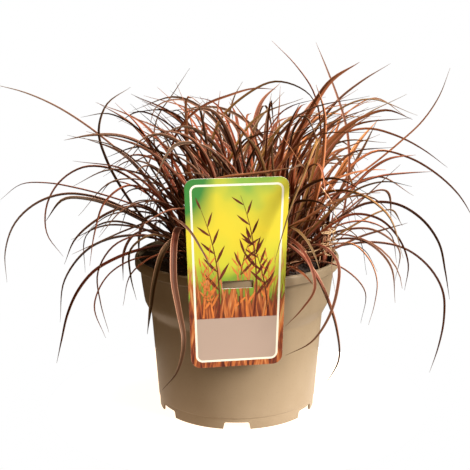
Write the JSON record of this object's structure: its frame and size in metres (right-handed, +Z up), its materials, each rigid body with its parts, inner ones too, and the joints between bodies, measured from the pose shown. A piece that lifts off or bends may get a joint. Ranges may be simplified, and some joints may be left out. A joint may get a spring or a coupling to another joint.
{
  "type": "potted red hook sedge",
  "caption": "Clump-forming red-brown hook sedge with arching, hooked leaves, in a taupe round nursery pot with compost and a hanging plant label.",
  "frame": {"origin": "centre of the pot's foot, on the surface that the pot stands on", "axes": "+Z up along the pot's axis; -Y is the front, where the label hangs; +X is the viewer's right"},
  "size_m": [0.398, 0.3327, 0.305],
  "materials": {
    "pot_plastic": "satin",
    "compost": "matte",
    "label_card": "gloss",
    "sedge_leaf": "satin"
  },
  "bodies": {
    "root": {"nursery_pot": "pot_plastic", "potting_soil": "compost", "plant_label": "label_card", "sedge_shoot_01": "sedge_leaf", "sedge_shoot_02": "sedge_leaf", "sedge_shoot_03": "sedge_leaf", "sedge_shoot_04": "sedge_leaf", "sedge_shoot_05": "sedge_leaf", "sedge_shoot_06": "sedge_leaf", "sedge_shoot_07": "sedge_leaf", "sedge_shoot_08": "sedge_leaf", "sedge_shoot_09": "sedge_leaf", "sedge_shoot_10": "sedge_leaf", "sedge_shoot_11": "sedge_leaf", "sedge_shoot_12": "sedge_leaf", "sedge_shoot_13": "sedge_leaf", "sedge_shoot_14": "sedge_leaf", "sedge_shoot_15": "sedge_leaf", "sedge_shoot_16": "sedge_leaf", "sedge_shoot_17": "sedge_leaf", "sedge_shoot_18": "sedge_leaf", "sedge_shoot_19": "sedge_leaf", "sedge_shoot_20": "sedge_leaf", "sedge_shoot_21": "sedge_leaf", "sedge_shoot_22": "sedge_leaf", "sedge_shoot_23": "sedge_leaf", "sedge_shoot_24": "sedge_leaf", "sedge_shoot_25": "sedge_leaf", "sedge_shoot_26": "sedge_leaf", "sedge_shoot_27": "sedge_leaf", "sedge_shoot_28": "sedge_leaf", "sedge_shoot_29": "sedge_leaf", "sedge_shoot_30": "sedge_leaf", "sedge_shoot_31": "sedge_leaf", "sedge_shoot_32": "sedge_leaf", "sedge_shoot_33": "sedge_leaf", "sedge_shoot_34": "sedge_leaf", "sedge_shoot_35": "sedge_leaf", "sedge_shoot_36": "sedge_leaf", "sedge_shoot_37": "sedge_leaf", "sedge_shoot_38": "sedge_leaf", "sedge_shoot_39": "sedge_leaf", "sedge_shoot_40": "sedge_leaf"}
  },
  "joints": []
}
